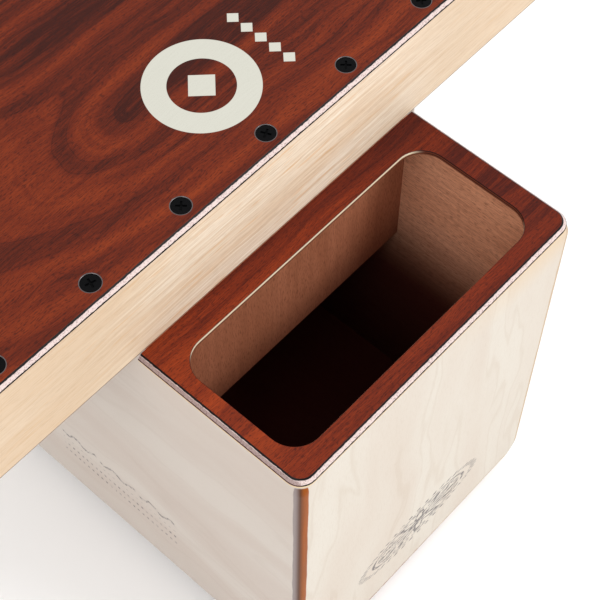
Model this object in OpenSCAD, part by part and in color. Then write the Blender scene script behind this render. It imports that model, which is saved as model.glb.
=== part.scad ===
// Lap cajon: a wide shallow playing box on top of a deep, narrow resonance box.
// The resonance box reaches out in front and carries an upward-facing sound port.
// X runs along the playing box, -Y is the port side, +Z is up. Units are millimetres.
// The origin is the middle of the whole object's footprint, at the feet's soles.

/* [Playing box] */
// Length of the playing box
top_w = 465; // [440:1:490]
// Depth of the playing box
top_d = 243; // [230:1:260]
// Height of the playing box, with the playing surface
top_h = 64; // [60:1:80]
// Thickness of the playing box's rails
rail_t = 20; // [18:1:24]

/* [Resonance box] */
// Width of the resonance box
body_w = 200; // [190:1:220]
// Height of the resonance box, from its underside to the port panel's face
body_h = 240; // [200:1:260]
// How far the resonance box reaches out in front of the playing box
port_reach = 102.5; // [98:0.5:110]
// Thickness of the plywood walls and floors
wall = 9; // [8:0.5:12]
// Radius of the upright edges
edge_r = 4.5; // [3:0.5:6]
// Radius of the resonance box's long bottom edges
bottom_r = 12; // [6:1:14]

/* [Thin panels] */
// Thickness of the playing surface and of the port panel
skin = 3; // [2.5:0.5:4]
// Width of the chamfer round both panels
chamfer = 2.5; // [1:0.5:2.5]
// Radius of the port panel's front corners
panel_corner_r = 9; // [6:0.5:12]

/* [Sound port] */
// Width of the port opening
port_w = 175; // [140:1:178]
// Depth of the port opening, front to back
port_d = 75; // [55:1:78]
// Corner radius of the port opening
port_r = 15; // [8:1:20]
// How far the opening sits to the left of the middle, the maker's tolerance
port_shift = 2; // [0:0.5:4]
// Distance from the front face to the opening
port_front = 12.4; // [11:0.1:16]
// Distance from the front face to the chimney wall
chimney_y = 99.3; // [94:0.1:99.5]
// Depth of the chimney wall's lower edge, below the port panel's face
chimney_depth = 97; // [60:1:140]

/* [Playing-surface screws] */
// Spacing of the screws, which are a whole number of steps apart on every side
screw_pitch = 55.5; // [50:0.5:58]
// Distance from the playing box's faces to the screws
screw_inset = 10.5; // [9:0.5:12]
// Radius of a screw head
screw_head_r = 4.85; // [4:0.05:5]
// Radius of a screw's shank
screw_r = 1.75; // [1.5:0.05:2]

/* [Snare] */
// Distance of the snare rod from the middle plane
rod_x = 66; // [50:1:76]
// Depth of the snare rod's axis below the playing surface's underside
rod_drop = 24; // [20:1:28]
// Radius of the snare rod
rod_r = 4; // [3:0.5:5]
// Radial running clearance of the rod in its bushes
rod_clear = 0.05; // [0.02:0.01:0.1]
// Number of strands in each snare
strands = 12; // [6:1:14]
// Length of a strand
strand_l = 88; // [60:1:95]
// Length of the throw-off lever, from its axis to the middle of its tip
lever_l = 38; // [30:1:42]

/* [Feet] */
// Height of the rubber feet
foot_h = 6; // [4:1:10]
// Radius of the rubber feet where they meet the box
foot_r = 11; // [8:1:14]
// Distance of the feet's axes from the resonance box's faces
foot_inset = 24; // [22:1:40]

/* [Hidden] */
$fn = 64;

lever_reach = 13;                                // the lever and its screw stand this far off the back
body_d = port_reach + top_d;
y_front = -(body_d + lever_reach) / 2;           // front face of the resonance box
y_back = y_front + body_d;                       // back face of both boxes
y_top = y_front + port_reach;                    // front face of the playing box
y_mid = (y_top + y_back) / 2;                    // middle of the playing box
in_front = y_top + rail_t;                       // inner faces of the front and back rails
in_back = y_back - rail_t;
z_port = foot_h + body_h;                        // port panel's face and the wings' underside
z_seat = z_port - skin;                          // seat of the port panel
z_under = z_port + top_h - skin;                 // underside of the playing surface
z_face = z_under + skin;                         // playing face
eps = 0.1;                                       // how far a cutting shape runs past a face
fit = 0.05;                                      // radial room round screws and fixed sleeves

countersink_r = 5.4;                             // mouth of a countersunk hole
head_sink = 0.3;                                 // a screw head sits this far below the face
head_h = 2.6;
screw_l = 20;
pilot_depth = 22;                                // pilot holes reach this far below the playing face
hole_room = 0.2;                                 // radial room of the shanks in the playing surface
recess_r = 2.6;                                  // half the length of a cross recess
recess_w = 1;
recess_depth = 1.2;

rod_z = z_under - rod_drop;
bush_r = 6;
bush_depth = 12;
flange_r = 9;
flange_t = 1.5;
part_gap = 0.3;                                  // gap between moving and fixed faces
collar_l = 6;
collar_r = 8;
washer_t = 1;
washer_r = 10;
hub_r = 9;
hub_end = 11;                                    // outer face of the lever's hub, off the back face
rod_end = 9;
lever_screw_r = 1.5;
lever_screw_l = 14;
arm_w = 9;
arm_from = 4;
arm_to = 9;
tip_r = 6.5;

block_l = 78;
block_w = 20;
block_h = 16;
block_gap = 12;
plate_t = 1;
strand_r = 0.7;
strand_pitch = 6;
strand_start = 4;                                // strands start this far in from the plate's edge
strand_tip_gap = 0.4;                            // gap between the strands' tips and the surface
plate_screw_x = 7;
plate_screw_r = 1.5;
plate_screw_l = 11;
plate_head_h = 2;
plate_screw_y = 28;                              // from a block's middle to its screws

foot_tip_r = 9;
foot_recess_r = 5;
foot_recess_h = 3.2;
foot_head_r = 4;
foot_head_h = 2.4;
foot_screw_r = 1.75;
foot_screw_l = 8;
foot_pilot = 7;

// Screw places: whole steps along X and Y round the edge of the playing surface
steps_x = floor((top_w - 2 * screw_inset + eps) / screw_pitch / 2);
steps_y = floor((top_d - 2 * screw_inset + eps) / screw_pitch / 2);
screw_places = concat(
    [for (i = [-steps_x:steps_x], s = [-1, 1]) [i * screw_pitch, y_mid + s * steps_y * screw_pitch]],
    [for (j = [1 - steps_y:steps_y - 1], s = [-1, 1]) [s * steps_x * screw_pitch, y_mid + j * screw_pitch]]);

foot_places = [for (sx = [-1, 1], y = [y_front + foot_inset, y_back - foot_inset])
    [sx * (body_w / 2 - foot_inset), y]];

birch = "#e8dcc6";
birch_rail = "#e6cfa6";
dark_veneer = "#73291f";

// Corner points of one mitred wall of a rectangular frame w by d, with walls t thick
function mitre_points(side, w, d, t) =
    side == "front" ? [[-w / 2, 0], [w / 2, 0], [w / 2 - t, t], [t - w / 2, t]] :
    side == "back" ? [[w / 2, d], [-w / 2, d], [t - w / 2, d - t], [w / 2 - t, d - t]] :
    side == "left" ? [[-w / 2, d], [-w / 2, 0], [t - w / 2, t], [t - w / 2, d - t]] :
    [[w / 2, 0], [w / 2, d], [w / 2 - t, d - t], [w / 2 - t, t]];

// Rectangle w by d with its front edge on Y 0 and its four corners rounded to r
module rounded_plan(w, d, r) {
    translate([r - w / 2, 0]) square([w - 2 * r, d]);
    translate([-w / 2, r]) square([w, d - 2 * r]);
    for (sx = [-1, 1], y = [r, d - r]) translate([sx * (w / 2 - r), y]) circle(r = r);
}

// One mitred wall of a frame, from height z0 to z1, with its outer corners rounded
module mitred_wall(side, w, d, t, y0, z0, z1) {
    translate([0, y0, z0]) linear_extrude(z1 - z0) intersection() {
        polygon(mitre_points(side, w, d, t));
        rounded_plan(w, d, edge_r);
    }
}

// Outline of the resonance box seen from the front, with rounded long bottom edges
module box_outline() {
    translate([0, y_front - eps, foot_h + bottom_r]) rotate([-90, 0, 0]) linear_extrude(body_d + 2 * eps) {
        translate([-body_w / 2, -body_h]) square([body_w, body_h]);
        translate([bottom_r - body_w / 2, 0]) square([body_w - 2 * bottom_r, bottom_r]);
        for (sx = [-1, 1]) translate([sx * (body_w / 2 - bottom_r), 0]) circle(r = bottom_r);
    }
}

// Outline of the resonance box seen from its side, with rounded bottom edges
module side_outline() {
    translate([-body_w, y_front, foot_h]) rotate([90, 0, 90]) linear_extrude(2 * body_w) {
        translate([0, edge_r]) square([body_d, body_h + wall]);
        translate([edge_r, 0]) square([body_d - 2 * edge_r, edge_r]);
        for (y = [edge_r, body_d - edge_r]) translate([y, edge_r]) circle(r = edge_r);
    }
}

module body_wall(side, z1) {
    color(birch) intersection() {
        mitred_wall(side, body_w, body_d, wall, y_front, foot_h, z1);
        box_outline();
        side_outline();
    }
}

// Prism along Y that slopes a panel's left and right upper edges
module side_slopes(w, d) {
    outline = [[-w / 2, 0], [w / 2, 0], [w / 2, skin - chamfer], [w / 2 - chamfer, skin],
               [chamfer - w / 2, skin], [-w / 2, skin - chamfer]];
    translate([0, d, 0]) rotate([90, 0, 0]) linear_extrude(d) polygon(outline);
}

// Prism along X that slopes a panel's front upper edge, and its back one by back_cut
module end_slopes(w, d, back_cut) {
    outline = [[0, 0], [d, 0], [d, skin - back_cut], [d - back_cut, skin],
               [chamfer, skin], [0, skin - chamfer]];
    translate([-w / 2, 0, 0]) rotate([90, 0, 90]) linear_extrude(w) polygon(outline);
}

// Cylinder on the snare rod's axis, between two places along Y
module rod_cylinder(r, y0, y1) {
    translate([rod_x, y0, rod_z]) rotate([-90, 0, 0]) cylinder(r = r, h = y1 - y0);
}

// Block between two opposite corners
module block(low, high) {
    translate(low) cube(high - low);
}

module playing_surface() {
    color(dark_veneer) translate([0, y_top, z_under]) difference() {
        intersection() {
            linear_extrude(skin) rounded_plan(top_w, top_d, edge_r);
            side_slopes(top_w, top_d);
            end_slopes(top_w, top_d, chamfer);
        }
        for (p = screw_places) translate([p[0], p[1] - y_top, 0]) {
            translate([0, 0, -eps]) cylinder(r = screw_r + hole_room, h = skin + 2 * eps);
            translate([0, 0, skin - countersink_r]) cylinder(r1 = 0, r2 = countersink_r, h = countersink_r);
        }
    }
}

// Countersunk screw with a cross recess, its head's top on Z 0
module countersunk_screw() {
    difference() {
        union() {
            translate([0, 0, -head_h]) cylinder(r1 = screw_head_r - head_h, r2 = screw_head_r, h = head_h);
            translate([0, 0, -screw_l]) cylinder(r = screw_r, h = screw_l - head_h);
        }
        for (a = [0, 90]) rotate([0, 0, a])
            block([-recess_r, -recess_w / 2, -recess_depth], [recess_r, recess_w / 2, eps]);
    }
}

module surface_screws() {
    color("black") for (p = screw_places) translate([p[0], p[1], z_face - head_sink]) countersunk_screw();
}

// One rail of the playing box, with pilot holes for the playing-surface screws
module top_rail(side) {
    color(birch_rail) difference() {
        mitred_wall(side, top_w, top_d, rail_t, y_top, z_port, z_under);
        for (p = screw_places) translate([p[0], p[1], z_face - pilot_depth])
            cylinder(r = screw_r + fit, h = pilot_depth);
        rod_cylinder(bush_r + fit, in_front - bush_depth, in_front + eps);
        rod_cylinder(bush_r + fit, in_back - eps, y_back + eps);
    }
}

module front_rail() { top_rail("front"); }
module back_rail() { top_rail("back"); }
module left_rail() { top_rail("left"); }
module right_rail() { top_rail("right"); }

module wing_floor(side) {
    near = side * body_w / 2;
    far = side * (top_w / 2 - rail_t);
    color(birch) block([min(near, far), in_front, z_port], [max(near, far), in_back, z_port + wall]);
}

module left_wing_floor() { wing_floor(-1); }
module right_wing_floor() { wing_floor(1); }

module port_panel() {
    color(dark_veneer) translate([0, y_front, z_seat]) difference() {
        intersection() {
            linear_extrude(skin) rounded_plan(body_w, port_reach + panel_corner_r, panel_corner_r);
            side_slopes(body_w, port_reach);
            end_slopes(body_w, port_reach, 0);
        }
        translate([-port_shift, port_front, -eps]) linear_extrude(skin + 2 * eps)
            rounded_plan(port_w, port_d, port_r);
    }
}

module front_panel() { body_wall("front", z_seat); }
module back_panel() { body_wall("back", z_port); }

// Side wall: low under the port panel, and raised between the wing floor and the chamber
module side_wall(side) {
    difference() {
        body_wall(side, z_port + wall);
        color(birch) block([-body_w, y_front - eps, z_seat], [body_w, y_top, z_port + wall + eps]);
        color(birch) block([-body_w, y_top - eps, z_port], [body_w, in_front, z_port + wall + eps]);
        color(birch) block([-body_w, in_back, z_port], [body_w, y_back + eps, z_port + wall + eps]);
    }
}

module left_side() { side_wall("left"); }
module right_side() { side_wall("right"); }

module bottom_panel() {
    x = body_w / 2 - wall;
    color(birch) difference() {
        intersection() {
            block([-x, y_front + wall, foot_h], [x, y_back - wall, foot_h + wall]);
            box_outline();
        }
        for (p = foot_places) translate([p[0], p[1], foot_h - eps])
            cylinder(r = foot_screw_r + fit, h = foot_pilot + eps);
    }
}

// Wall behind the port, with a step that the port panel's back edge rests on
module chimney_wall() {
    x = body_w / 2 - wall;
    low = z_port - chimney_depth;
    y0 = y_front + chimney_y;
    color(birch) {
        block([-x, y0, low], [x, y0 + wall, z_seat]);
        block([-x, y_top, z_seat], [x, y0 + wall, z_port]);
    }
}

module snare_rod() {
    color("silver") difference() {
        rod_cylinder(rod_r, in_front - bush_depth + 1, y_back + rod_end);
        rod_cylinder(lever_screw_r + fit, y_back - lever_screw_l, y_back + rod_end + eps);
    }
}

module front_bush() {
    color("khaki") difference() {
        union() {
            rod_cylinder(bush_r, in_front - bush_depth, in_front);
            rod_cylinder(flange_r, in_front, in_front + flange_t);
        }
        rod_cylinder(rod_r + rod_clear, in_front - bush_depth - eps, in_front + flange_t + eps);
    }
}

module back_bush() {
    color("khaki") difference() {
        union() {
            rod_cylinder(bush_r, in_back, y_back);
            rod_cylinder(flange_r, in_back - flange_t, in_back);
        }
        rod_cylinder(rod_r + rod_clear, in_back - flange_t - eps, y_back + eps);
    }
}

module rod_collar() {
    start = in_front + flange_t + part_gap;
    color("silver") difference() {
        rod_cylinder(collar_r, start, start + collar_l);
        rod_cylinder(rod_r, start - eps, start + collar_l + eps);
    }
}

// First place along Y of the front or back snare block
function block_start(place) = y_mid + (place < 0 ? -block_gap / 2 - block_l : block_gap / 2);

module snare_block(place) {
    y0 = block_start(place);
    half = [block_w / 2, 0, block_h / 2];
    middle = [rod_x, y0, rod_z];
    color("burlywood") difference() {
        block(middle - half, middle + half + [0, block_l, 0]);
        rod_cylinder(rod_r, y0 - eps, y0 + block_l + eps);
        plate_screw_holes(place, plate_screw_r + fit, rod_z + block_h / 2 + eps, plate_screw_l);
    }
}

// Place of one of the two screws that hold a snare plate, at height z
function plate_screw_place(place, s, z) =
    [rod_x + plate_screw_x, block_start(place) + block_l / 2 + s * plate_screw_y, z];

// Upright holes under the two screws of one snare plate
module plate_screw_holes(place, r, top, depth) {
    for (s = [-1, 1]) translate(plate_screw_place(place, s, top - depth)) cylinder(r = r, h = depth);
}

module snare_plate(place) {
    y0 = block_start(place);
    z0 = rod_z + block_h / 2;
    color("goldenrod") difference() {
        block([rod_x - block_w / 2, y0 + 1, z0], [rod_x + block_w / 2, y0 + block_l - 1, z0 + plate_t]);
        plate_screw_holes(place, plate_screw_r + fit, z0 + plate_t + eps, plate_t + 2 * eps);
    }
}

// Strands that rise from the plate's edge to just under the playing surface
module snare_wires(place) {
    root_x = rod_x - block_w / 2 + strand_start;
    root_z = rod_z + block_h / 2 + plate_t + strand_r + fit;
    rise = z_under - strand_tip_gap - 2 * strand_r - root_z;
    middle = block_start(place) + block_l / 2;
    color("silver") for (i = [0:strands - 1])
        translate([root_x, middle + (i - (strands - 1) / 2) * strand_pitch, root_z])
            rotate([0, asin(rise / strand_l) - 90, 0]) cylinder(r = strand_r, h = strand_l);
}

module front_snare_block() { snare_block(-1); }
module back_snare_block() { snare_block(1); }
module front_snare_plate() { snare_plate(-1); }
module back_snare_plate() { snare_plate(1); }
module front_snare_wires() { snare_wires(-1); }
module back_snare_wires() { snare_wires(1); }

module snare_screws() {
    z = rod_z + block_h / 2 + plate_t;
    color("silver") for (place = [-1, 1], s = [-1, 1])
        translate(plate_screw_place(place, s, z)) {
            cylinder(r = 2 * plate_screw_r, h = plate_head_h);
            translate([0, 0, 1 - plate_screw_l]) cylinder(r = plate_screw_r, h = plate_screw_l - 1);
        }
}

module friction_washer() {
    color("ivory") difference() {
        rod_cylinder(washer_r, y_back, y_back + washer_t);
        rod_cylinder(rod_r + part_gap, y_back - eps, y_back + washer_t + eps);
    }
}

module snare_lever() {
    color("dimgray") difference() {
        union() {
            rod_cylinder(hub_r, y_back + washer_t + part_gap, y_back + hub_end);
            block([rod_x - lever_l, y_back + arm_from, rod_z - arm_w / 2],
                  [rod_x, y_back + arm_to, rod_z + arm_w / 2]);
            translate([-lever_l, 0, 0]) rod_cylinder(tip_r, y_back + arm_from - 1, y_back + arm_to + 1);
        }
        rod_cylinder(rod_r, y_back, y_back + rod_end);
        rod_cylinder(lever_screw_r + fit, y_back, y_back + hub_end + eps);
    }
}

module lever_screw() {
    color("silver") {
        rod_cylinder(2 * lever_screw_r + 1, y_back + hub_end, y_back + lever_reach);
        rod_cylinder(lever_screw_r, y_back + hub_end - lever_screw_l, y_back + hub_end);
    }
}

module rubber_feet() {
    color("#1c1c1e") for (p = foot_places) translate([p[0], p[1], 0]) difference() {
        cylinder(r1 = foot_tip_r, r2 = foot_r, h = foot_h);
        translate([0, 0, -eps]) cylinder(r = foot_recess_r, h = foot_recess_h + eps);
        cylinder(r = foot_screw_r + fit, h = foot_h + eps);
    }
}

module foot_screws() {
    color("silver") for (p = foot_places) translate([p[0], p[1], foot_recess_h - foot_head_h]) {
        cylinder(r = foot_head_r, h = foot_head_h);
        cylinder(r = foot_screw_r, h = foot_head_h + foot_screw_l);
    }
}

playing_surface();
surface_screws();
front_rail();
back_rail();
left_rail();
right_rail();
left_wing_floor();
right_wing_floor();
port_panel();
front_panel();
left_side();
right_side();
back_panel();
bottom_panel();
chimney_wall();
snare_rod();
front_bush();
back_bush();
rod_collar();
front_snare_block();
back_snare_block();
front_snare_plate();
back_snare_plate();
front_snare_wires();
back_snare_wires();
snare_screws();
friction_washer();
snare_lever();
lever_screw();
rubber_feet();
foot_screws();
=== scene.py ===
import math
from types import SimpleNamespace
import bpy
import bmesh
import numpy as np
from mathutils import Matrix, Vector
from mathutils.geometry import delaunay_2d_cdt


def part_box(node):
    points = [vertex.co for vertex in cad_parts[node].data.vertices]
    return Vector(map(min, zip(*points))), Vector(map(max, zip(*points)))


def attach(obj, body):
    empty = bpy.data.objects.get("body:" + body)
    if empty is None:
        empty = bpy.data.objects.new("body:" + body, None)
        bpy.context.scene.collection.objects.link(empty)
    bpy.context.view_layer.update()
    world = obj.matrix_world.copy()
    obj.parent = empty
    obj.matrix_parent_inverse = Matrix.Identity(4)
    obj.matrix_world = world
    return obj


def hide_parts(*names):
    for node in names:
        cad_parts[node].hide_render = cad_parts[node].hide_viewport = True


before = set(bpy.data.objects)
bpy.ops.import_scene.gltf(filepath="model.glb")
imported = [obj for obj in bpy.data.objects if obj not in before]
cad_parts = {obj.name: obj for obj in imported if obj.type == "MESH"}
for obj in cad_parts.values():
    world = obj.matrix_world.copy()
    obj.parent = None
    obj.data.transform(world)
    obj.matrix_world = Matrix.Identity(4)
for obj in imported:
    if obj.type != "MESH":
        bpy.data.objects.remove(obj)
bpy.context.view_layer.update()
print("frame loaded:", len(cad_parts), "nodes")

# Lap cajon: a wide playing box on a narrow resonance box that carries the sound port.
# Shapes are worked out in millimetres and become metres when a mesh is made.
mm = 0.001


def nodeBox(node):
    # lowest and highest corner of a CAD node, in millimetres
    low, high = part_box(node)
    return np.array(low) / mm, np.array(high) / mm


# heights and faces that the pieces share, read from the frame
surfaceLow, surfaceHigh = nodeBox("playing_surface")
portLow, portHigh = nodeBox("port_panel")
sideLow, sideHigh = nodeBox("left_side")
rodLow, rodHigh = nodeBox("snare_rod")
face, under = surfaceHigh[2], surfaceLow[2]  # playing face and its underside
wing = nodeBox("front_rail")[0][2]  # underside of the wings
seat, ground = portLow[2], sideLow[2]  # port panel's seat and the resonance box's underside
topHalf, bodyHalf = surfaceHigh[0], portHigh[0]  # half widths of the two boxes
topFront, back, bodyFront = surfaceLow[1], surfaceHigh[1], portLow[1]
rodX, rodZ = (rodLow[0] + rodHigh[0]) / 2, (rodLow[2] + rodHigh[2]) / 2


# meshes: a shape is an array of points with a list of faces
def makePiece(name, shape, body, materials, node, crisp=35, kinds=None):
    # a shape becomes one merged mesh that stands in for a CAD node, with its faces turned outwards. Edges that turn
    # more than crisp degrees stay crisp, and kinds holds each face's place in the list of materials.
    points, faces = shape
    mesh = bpy.data.meshes.new(name)
    mesh.from_pydata((points * mm).tolist(), [], faces)
    if kinds is not None:
        mesh.polygons.foreach_set("material_index", np.asarray(kinds, np.int32))
    work = bmesh.new()
    work.from_mesh(mesh)
    bmesh.ops.remove_doubles(work, verts=work.verts, dist=1e-7)
    bmesh.ops.recalc_face_normals(work, faces=work.faces)
    work.to_mesh(mesh)
    work.free()
    mesh.shade_smooth()
    mesh.set_sharp_from_angle(angle=math.radians(crisp))
    for material in materials:
        mesh.materials.append(material)
    piece = bpy.data.objects.new(name, mesh)
    bpy.context.scene.collection.objects.link(piece)
    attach(piece, body)
    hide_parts(node)


def joinShapes(shapes):
    # several shapes as one: each one's faces count on from the points before it
    faces, count = [], 0
    for points, shapeFaces in shapes:
        faces += [[i + count for i in corners] for corners in shapeFaces]
        count += len(points)
    return np.concatenate([points for points, shapeFaces in shapes]), faces


def ringStack(rings, capStart=True, capEnd=True, closed=False):
    # closed rings carried along a path, array (rings, points, 3): quads between neighbouring rings, and a flat face
    # on each end. Where closed, the last ring joins the first.
    count, size = rings.shape[:2]
    row, column = np.meshgrid(np.arange(count if closed else count - 1), np.arange(size), indexing="ij")
    nextRow, nextColumn = (row + 1) % count, (column + 1) % size
    corners = ((row, column), (row, nextColumn), (nextRow, nextColumn), (nextRow, column))
    faces = np.stack([i * size + j for i, j in corners], -1).reshape(-1, 4).tolist()
    if capStart and not closed:
        faces.append(list(range(size)))
    if capEnd and not closed:
        faces.append(list(range((count - 1) * size, count * size)))
    return rings.reshape(-1, 3), faces


def spun(profile, steps, centre, axis="z", closed=False):
    # profile of (radius, height) pairs turned about an axis through centre; closed joins its two ends
    profile = np.asarray(profile, float)
    turn = np.linspace(0, 2 * np.pi, steps, endpoint=False)
    across, along = profile[:, :1] * np.cos(turn), profile[:, :1] * np.sin(turn)
    level = np.broadcast_to(profile[:, 1:], across.shape)
    order = (across, along, level) if axis == "z" else (across, level, along)
    return ringStack(np.stack(order, -1) + np.asarray(centre, float), closed=closed)


def softCorner(radius, height, turnIn, turnOut, size, steps=4):
    # quarter circle from one direction to another, as (radius, height) pairs, to round one corner of a profile
    t = np.linspace(0, 1, steps + 1) * np.pi / 2
    return np.array([radius, height]) + size * (np.outer(np.sin(t) - 1, turnIn) + np.outer(1 - np.cos(t), turnOut))


def roundedDisc(outer, low, high, soft, inner=0.0):
    # closed profile of a disc or ring with soft outer corners; inner is the radius of its hole
    lower = softCorner(outer, low, (1, 0), (0, 1), soft)
    upper = softCorner(outer, high, (0, 1), (-1, 0), soft)
    return np.concatenate([[[inner, low]], lower, upper, [[inner, high]]])


def cornerOutline(halfX, lowY, highY, radii, steps=8):
    # rounded rectangle seen from above, anticlockwise from the front left corner: a quarter circle round each
    # corner's centre, one radius for each corner
    signs = np.array([(-1, -1), (1, -1), (1, 1), (-1, 1)], float)
    radii = np.asarray(radii, float)
    centreX = signs[:, 0] * (halfX - radii)
    centreY = np.where(signs[:, 1] < 0, lowY + radii, highY - radii)
    turn = np.radians(180 + 90 * np.arange(4)[:, None] + np.linspace(0, 90, steps + 1)[None, :])
    x = centreX[:, None] + radii[:, None] * np.cos(turn)
    y = centreY[:, None] + radii[:, None] * np.sin(turn)
    return np.stack([x, y], -1).reshape(-1, 2)


def circle(centre, radius, steps=48):
    # even turns round a centre, seen from above
    turn = np.linspace(0, 2 * np.pi, steps, endpoint=False)
    return np.column_stack([centre[0] + radius * np.cos(turn), centre[1] + radius * np.sin(turn)])


def atLevel(loop, z):
    # an outline seen from above, set at one height
    return np.column_stack([loop, np.full(len(loop), z)])


def smoothStep(share):
    # 0 to 1 with flat ends: the share squared times 3 less twice the share
    share = np.clip(share, 0, 1)
    return share ** 2 * (3 - 2 * share)


def insideLoop(points, loop):
    # counts the loop's edges to the right of each point; an odd count is inside
    x, y = points[:, :1], points[:, 1:]
    after = np.roll(loop, -1, 0)
    crosses = (loop[:, 1] > y) != (after[:, 1] > y)
    rise = after[:, 1] - loop[:, 1]
    slope = (after[:, 0] - loop[:, 0]) / np.where(rise == 0, 1e-9, rise)
    return ((crosses & (x < loop[:, 0] + slope * (y - loop[:, 1]))).sum(1) % 2).astype(bool)


def flatFace(outer, holes, level):
    # triangles that fill an outline with holes in it, all at one height
    loops = [outer] + holes
    edges, start = [], 0
    for loop in loops:
        edges += [(start + i, start + (i + 1) % len(loop)) for i in range(len(loop))]
        start += len(loop)
    made = delaunay_2d_cdt([Vector(p) for p in np.concatenate(loops).tolist()], edges, [], 1, 1e-6)
    points, triangles = np.array([tuple(p) for p in made[0]]), np.array([list(f) for f in made[2]])
    middles = points[triangles].mean(1)
    keep = insideLoop(middles, outer)
    for hole in holes:
        keep &= ~insideLoop(middles, hole)
    return atLevel(points, level), triangles[keep].tolist()


def softBlock(low, high, soft=0.6, steps=3):
    # box with rounded edges: a sphere of the edge radius, its eight parts moved out to the box's corners
    low, high = np.asarray(low, float), np.asarray(high, float)
    lat = np.radians(np.concatenate([np.linspace(-90, 0, steps + 1), np.linspace(0, 90, steps + 1)]))[:, None]
    side = np.repeat([-1.0, 1.0], steps + 1)[:, None]
    quarter = np.repeat(np.arange(4), steps + 1)[None, :]
    lon = np.radians(90 * quarter + np.tile(np.linspace(0, 90, steps + 1), 4))
    signX, signY = np.where(quarter % 3 == 0, 1.0, -1.0), np.where(quarter < 2, 1.0, -1.0)
    middle, half = (low + high) / 2, (high - low) / 2 - soft
    x = middle[0] + signX * half[0] + soft * np.cos(lat) * np.cos(lon)
    y = middle[1] + signY * half[1] + soft * np.cos(lat) * np.sin(lon)
    z = middle[2] + side * half[2] + soft * np.sin(lat) + 0 * lon
    return ringStack(np.stack([x, y, z], -1))


# node tools
class graphValue:
    # an output of a node that takes part in sums: each sign, and abs, makes a Math node in its own tree
    def __init__(self, tree, socket):
        self.tree, self.socket = tree, socket

    def __add__(self, other):
        return calc("ADD", self, other)

    def __sub__(self, other):
        return calc("SUBTRACT", self, other)

    def __rsub__(self, other):
        return calc("SUBTRACT", other, self)

    def __mul__(self, other):
        return calc("MULTIPLY", self, other)

    def __truediv__(self, other):
        return calc("DIVIDE", self, other)

    def __abs__(self):
        return calc("ABSOLUTE", self)


def paint(red, green, blue):
    # a screen colour from 0 to 255 as linear light: a straight foot, then a power of 2.4
    levels = np.array([red, green, blue]) / 255
    linear = np.where(levels <= 0.04045, levels / 12.92, ((levels + 0.055) / 1.055) ** 2.4)
    return (*linear.tolist(), 1.0)


def addNode(tree, kind, **settings):
    # a new node with its settings
    made = tree.nodes.new("ShaderNode" + kind)
    for key, value in settings.items():
        setattr(made, key, value)
    return made


def feed(socket, value):
    # links a node's output to a socket, or sets the socket's own value
    if isinstance(value, graphValue):
        value.tree.links.new(value.socket, socket)
    else:
        socket.default_value = value


def nodeFrom(kind, values, output=0, **settings):
    # a node whose first inputs take the values, in the tree of the first value that is linked
    tree = next(value.tree for value in values if isinstance(value, graphValue))
    made = addNode(tree, kind, **settings)
    for socket, value in zip(made.inputs, values):
        feed(socket, value)
    return graphValue(tree, made.outputs[output])


def calc(operation, *values):
    # one Math node
    return nodeFrom("Math", values, operation=operation)


def vectorCalc(operation, *values):
    # one Vector Math node; a length comes out as a number
    return nodeFrom("VectorMath", values, "Value" if operation == "LENGTH" else "Vector", operation=operation)


def smallest(first, *others):
    # the least of several values
    for other in others:
        first = calc("MINIMUM", first, other)
    return first


def largest(first, *others):
    # the greatest of several values
    for other in others:
        first = calc("MAXIMUM", first, other)
    return first


def spread(value, low, high, lowTo=0.0, highTo=1.0, kind="SMOOTHSTEP"):
    # a value between low and high becomes a soft step between two results
    return nodeFrom("MapRange", (value, low, high, lowTo, highTo), interpolation_type=kind)


def parts(vector):
    # the X, Y and Z of a vector
    made = nodeFrom("SeparateXYZ", (vector,)).socket.node
    return [graphValue(vector.tree, socket) for socket in made.outputs]


def vectorOf(x, y, z):
    # three numbers as a vector
    return nodeFrom("CombineXYZ", (x, y, z))


def awayFrom(x, y):
    # distance from the origin of a plane
    return vectorCalc("LENGTH", vectorOf(x, y, 0.0))


def cloud(vector, size, detail=2.0, roughness=0.5):
    # noise whose lumps measure size, a length along each axis
    scaled = vectorCalc("DIVIDE", vector, size)
    made = addNode(vector.tree, "TexNoise")
    for name, value in (("Vector", scaled), ("Scale", 1.0), ("Detail", detail), ("Roughness", roughness)):
        feed(made.inputs[name], value)
    return graphValue(vector.tree, made.outputs[0])


def layered(colour, *coats):
    # lays (amount, tint) coats over a colour in turn: each result is a mix of the last one and the tint
    for amount, tint in coats:
        made = addNode(amount.tree, "Mix", data_type="RGBA")
        for number, value in ((0, amount), (6, colour), (7, tint)):
            feed(made.inputs[number], value)
        colour = graphValue(amount.tree, made.outputs[2])
    return colour


def colourSteps(value, stops):
    # colour ramp through (place, colour) stops
    made = nodeFrom("ValToRGB", (value,))
    ramp = made.socket.node.color_ramp
    while len(ramp.elements) < len(stops):
        ramp.elements.new(0.5)
    for element, (place, colour) in zip(ramp.elements, stops):
        element.position, element.color = place, colour
    return made


def makeGroup(name, outputs, **inputs):
    # a node group with named sockets: an input's value says whether it is a number, a vector or a colour, and an
    # output is a number unless it is called Flow or Colour
    group = bpy.data.node_groups.new(name, "ShaderNodeTree")
    for label, value in inputs.items():
        kind = {1: "Float", 3: "Vector", 4: "Color"}[np.size(value)]
        group.interface.new_socket(name=label, in_out="INPUT", socket_type="NodeSocket" + kind).default_value = value
    for label in outputs.split():
        kind = {"Flow": "Vector", "Colour": "Color"}.get(label, "Float")
        group.interface.new_socket(name=label, in_out="OUTPUT", socket_type="NodeSocket" + kind)
    sockets = group.nodes.new("NodeGroupInput").outputs
    given = SimpleNamespace(**{label: graphValue(group, sockets[label]) for label in inputs})
    return group, given, group.nodes.new("NodeGroupOutput").inputs


def giveOut(out, **values):
    # links the results to a group's outputs
    for label, value in values.items():
        feed(out[label], value)


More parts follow.
